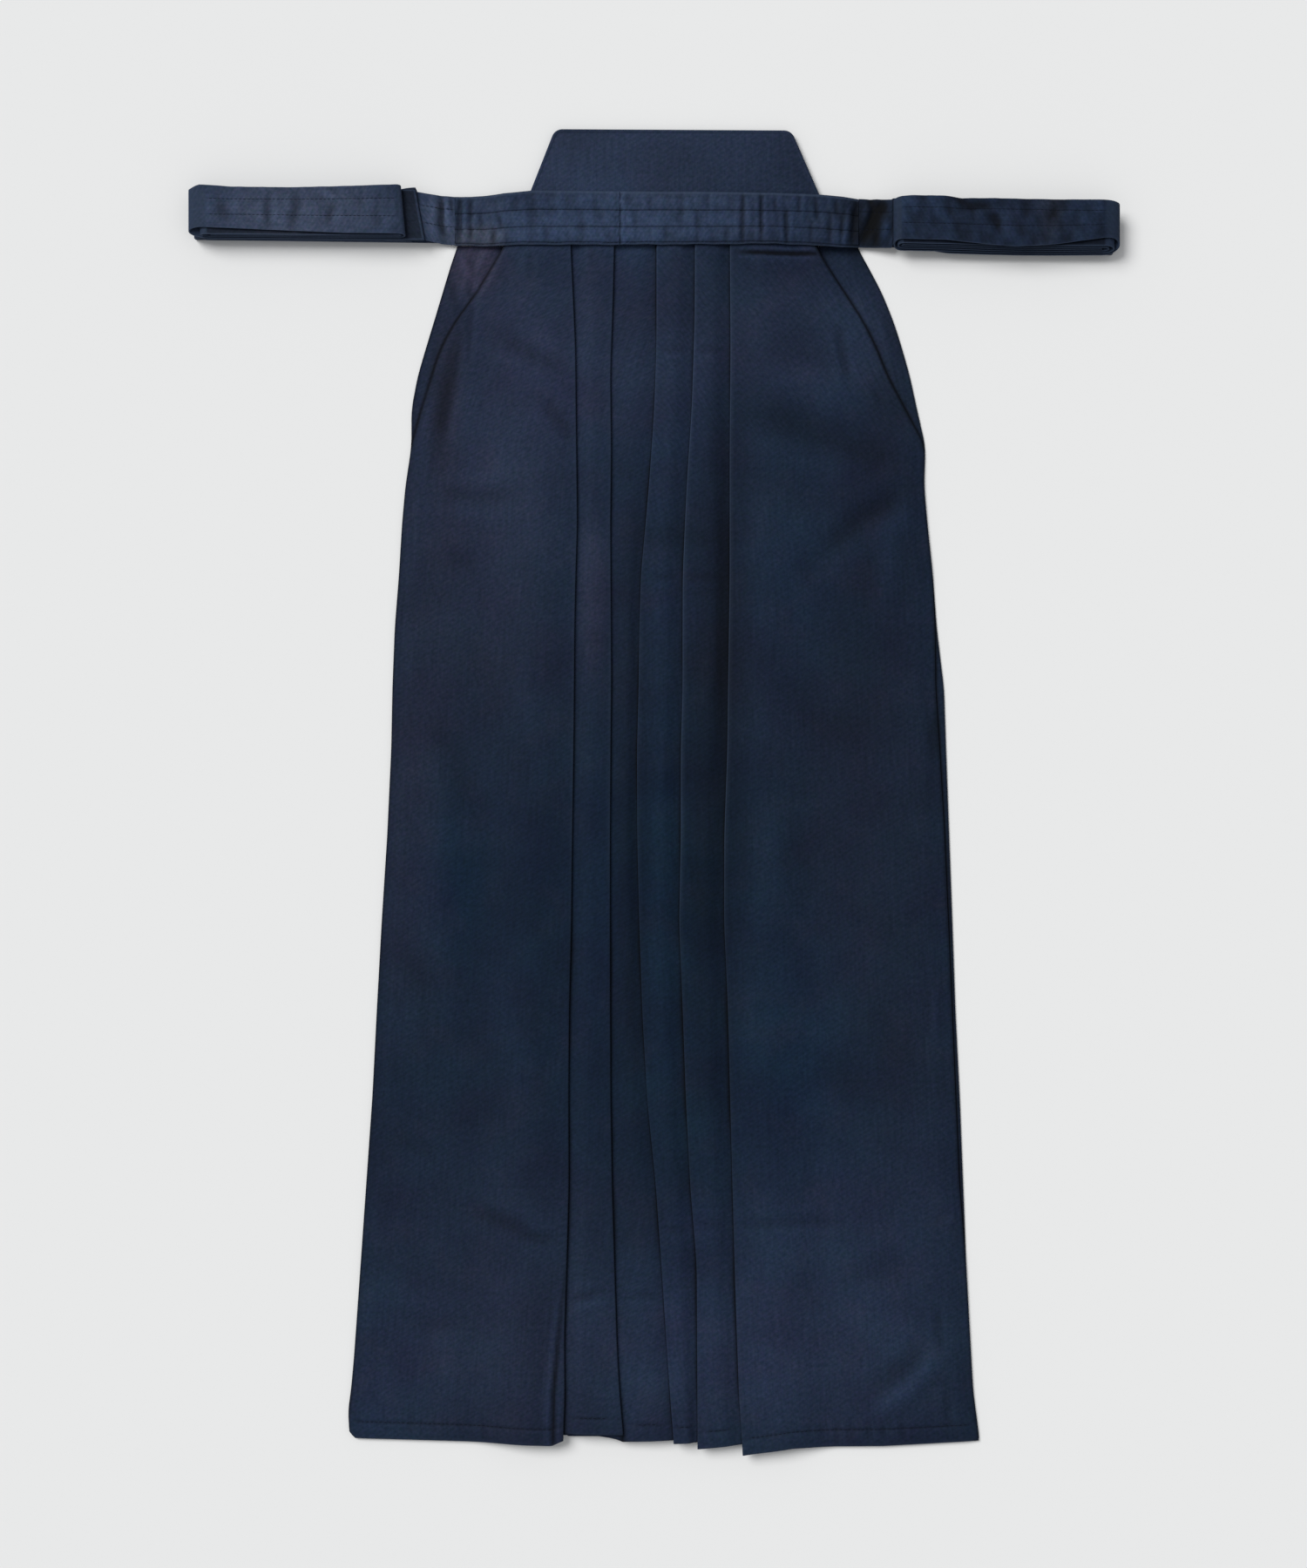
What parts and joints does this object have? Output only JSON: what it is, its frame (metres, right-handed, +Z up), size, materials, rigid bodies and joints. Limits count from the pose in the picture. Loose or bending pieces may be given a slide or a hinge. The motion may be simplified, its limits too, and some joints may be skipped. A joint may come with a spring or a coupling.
{
  "type": "hakama trousers",
  "caption": "Pleated wide-leg hakama trousers laid flat front up, with a stiff trapezoid back board, front waistband and flat-rolled straps.",
  "frame": {"origin": "centre of the bottom face of the bounding box, on the surface that the garment lies on", "axes": "+Z up out of the surface; +Y toward the back board, -Y toward the hem; +X toward the right as seen from above"},
  "size_m": [0.703, 1.0039, 0.0177],
  "materials": {
    "trouser_cloth": "matte navy twill",
    "strap_cloth": "matte navy twill, stitched",
    "board_cloth": "matte navy cloth over a stiff board"
  },
  "bodies": {
    "root": {"front_panel_left": "trouser_cloth", "front_panel_right": "trouser_cloth", "back_panel_left": "trouser_cloth", "back_panel_right": "trouser_cloth", "gusset_left": "trouser_cloth", "gusset_right": "trouser_cloth", "front_waistband": "strap_cloth", "front_strap_left": "strap_cloth", "front_strap_right": "strap_cloth", "front_strap_roll_left": "strap_cloth", "front_strap_roll_right": "strap_cloth", "back_strap_left": "strap_cloth", "back_strap_right": "strap_cloth", "back_board": "board_cloth"}
  },
  "joints": []
}
